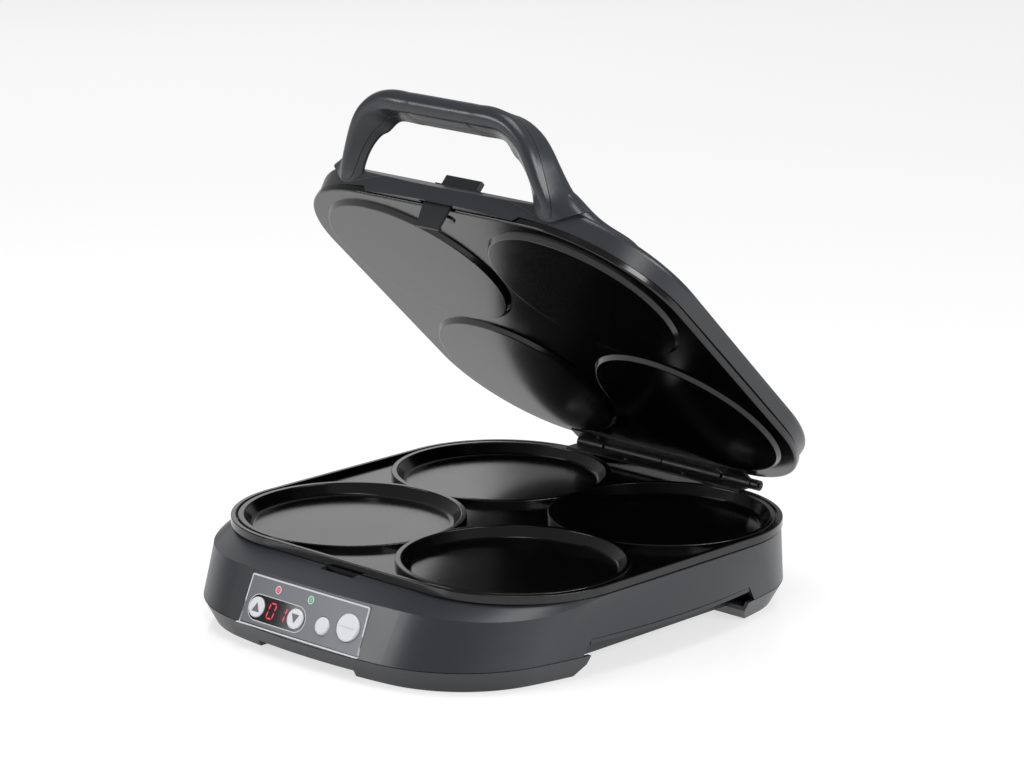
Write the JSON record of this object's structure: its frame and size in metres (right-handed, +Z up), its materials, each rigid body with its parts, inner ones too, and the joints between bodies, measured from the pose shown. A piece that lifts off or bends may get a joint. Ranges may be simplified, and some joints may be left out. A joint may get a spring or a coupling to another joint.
{
  "type": "pancake maker",
  "caption": "Hinged countertop pancake maker with round wells in the lower plate, raised rounds in the lid, a loop handle with a thumb latch, and a sloped control panel.",
  "frame": {"origin": "middle of the bounding box at table level, with the lid open as stored", "axes": "+X to the right, +Y to the back where the hinge is, +Z up"},
  "size_m": [0.2612, 0.3059, 0.29],
  "materials": {
    "board": "circuit board",
    "bright_steel": "plain steel",
    "coated_plate": "black non-stick coating on cast aluminium",
    "component": "moulded electronic part",
    "cover_plastic": "satin charcoal moulding",
    "display": "dark window",
    "fascia": "printed grey panel",
    "green_lens": "clear green lens",
    "handle_plastic": "satin charcoal moulding",
    "heater_steel": "heated steel tube",
    "hinge_steel": "black coated steel",
    "housing_plastic": "satin charcoal moulding",
    "latch_plastic": "satin charcoal moulding",
    "lid_plastic": "satin charcoal moulding",
    "module": "display body",
    "red_lens": "clear red lens",
    "relay_case": "relay case",
    "rubber": "soft feet",
    "screw_steel": "dark screws",
    "sensor_case": "metal cap",
    "shield_metal": "thin sheet",
    "white_button": "satin white"
  },
  "bodies": {
    "base": {"base_housing": "housing_plastic", "bottom_cover": "cover_plastic", "bottom_cover_screws": "screw_steel", "rubber_feet": "rubber", "lower_plate": "coated_plate", "lower_plate_screws": "screw_steel", "lower_heater": "heater_steel", "lower_heater_terminals": "bright_steel", "lower_heat_shield": "shield_metal", "lower_shield_screw": "screw_steel", "lower_thermostat": "sensor_case", "thermal_fuse": "component", "power_board": "board", "power_board_screws": "screw_steel", "relay": "relay_case", "transformer": "component", "cord_inlet": "rubber", "control_fascia": "fascia", "display_window": "display", "display_module": "module", "control_board": "board", "control_board_screws": "screw_steel", "tact_switches": "component", "power_light": "red_lens", "ready_light": "green_lens", "base_hinge_leaf": "hinge_steel", "base_hinge_screws": "screw_steel", "hinge_pin": "hinge_steel", "hinge_retainer": "bright_steel"},
    "lid": {"lid_shell": "lid_plastic", "handle_frame": "handle_plastic", "handle_frame_screws": "screw_steel", "upper_plate": "coated_plate", "upper_plate_screw": "screw_steel", "upper_heater": "heater_steel", "upper_heater_terminals": "bright_steel", "upper_heat_shield": "shield_metal", "upper_shield_screw": "screw_steel", "upper_thermostat": "sensor_case", "lid_hinge_leaf": "hinge_steel", "lid_hinge_screws": "screw_steel", "latch_pin": "bright_steel", "latch_spring": "bright_steel", "latch_bezel": "latch_plastic"},
    "latch": {"latch_lever": "latch_plastic", "latch_button": "latch_plastic"},
    "up_key": {"up_button": "white_button"},
    "down_key": {"down_button": "white_button"},
    "more_key": {"more_button": "white_button"},
    "start_key": {"start_button": "white_button"}
  },
  "joints": [
    {"name": "lid_hinge", "type": "hinge", "parent": "base", "child": "lid", "pos_m": [0, 0.14442, 0.0521], "axis": [1, 0, 0], "range_deg": [-52.5, 42.5]},
    {"name": "latch_press", "type": "hinge", "parent": "lid", "child": "latch", "pos_m": [0, -0.03551, 0.23244], "axis": [-1, 0, 0], "range_deg": [0, 5], "stiffness_Nm_per_rad": 2, "springref_deg": -4.58},
    {"name": "up_press", "type": "slide", "parent": "base", "child": "up_key", "axis": [0, 0.9205, -0.3907], "range_m": [0, 0.0008], "stiffness_N_per_m": 400, "springref_m": -0.001},
    {"name": "down_press", "type": "slide", "parent": "base", "child": "down_key", "axis": [0, 0.9205, -0.3907], "range_m": [0, 0.0008], "stiffness_N_per_m": 400, "springref_m": -0.001},
    {"name": "more_press", "type": "slide", "parent": "base", "child": "more_key", "axis": [0, 0.9205, -0.3907], "range_m": [0, 0.0008], "stiffness_N_per_m": 400, "springref_m": -0.001},
    {"name": "start_press", "type": "slide", "parent": "base", "child": "start_key", "axis": [0, 0.9205, -0.3907], "range_m": [0, 0.0008], "stiffness_N_per_m": 400, "springref_m": -0.001}
  ]
}
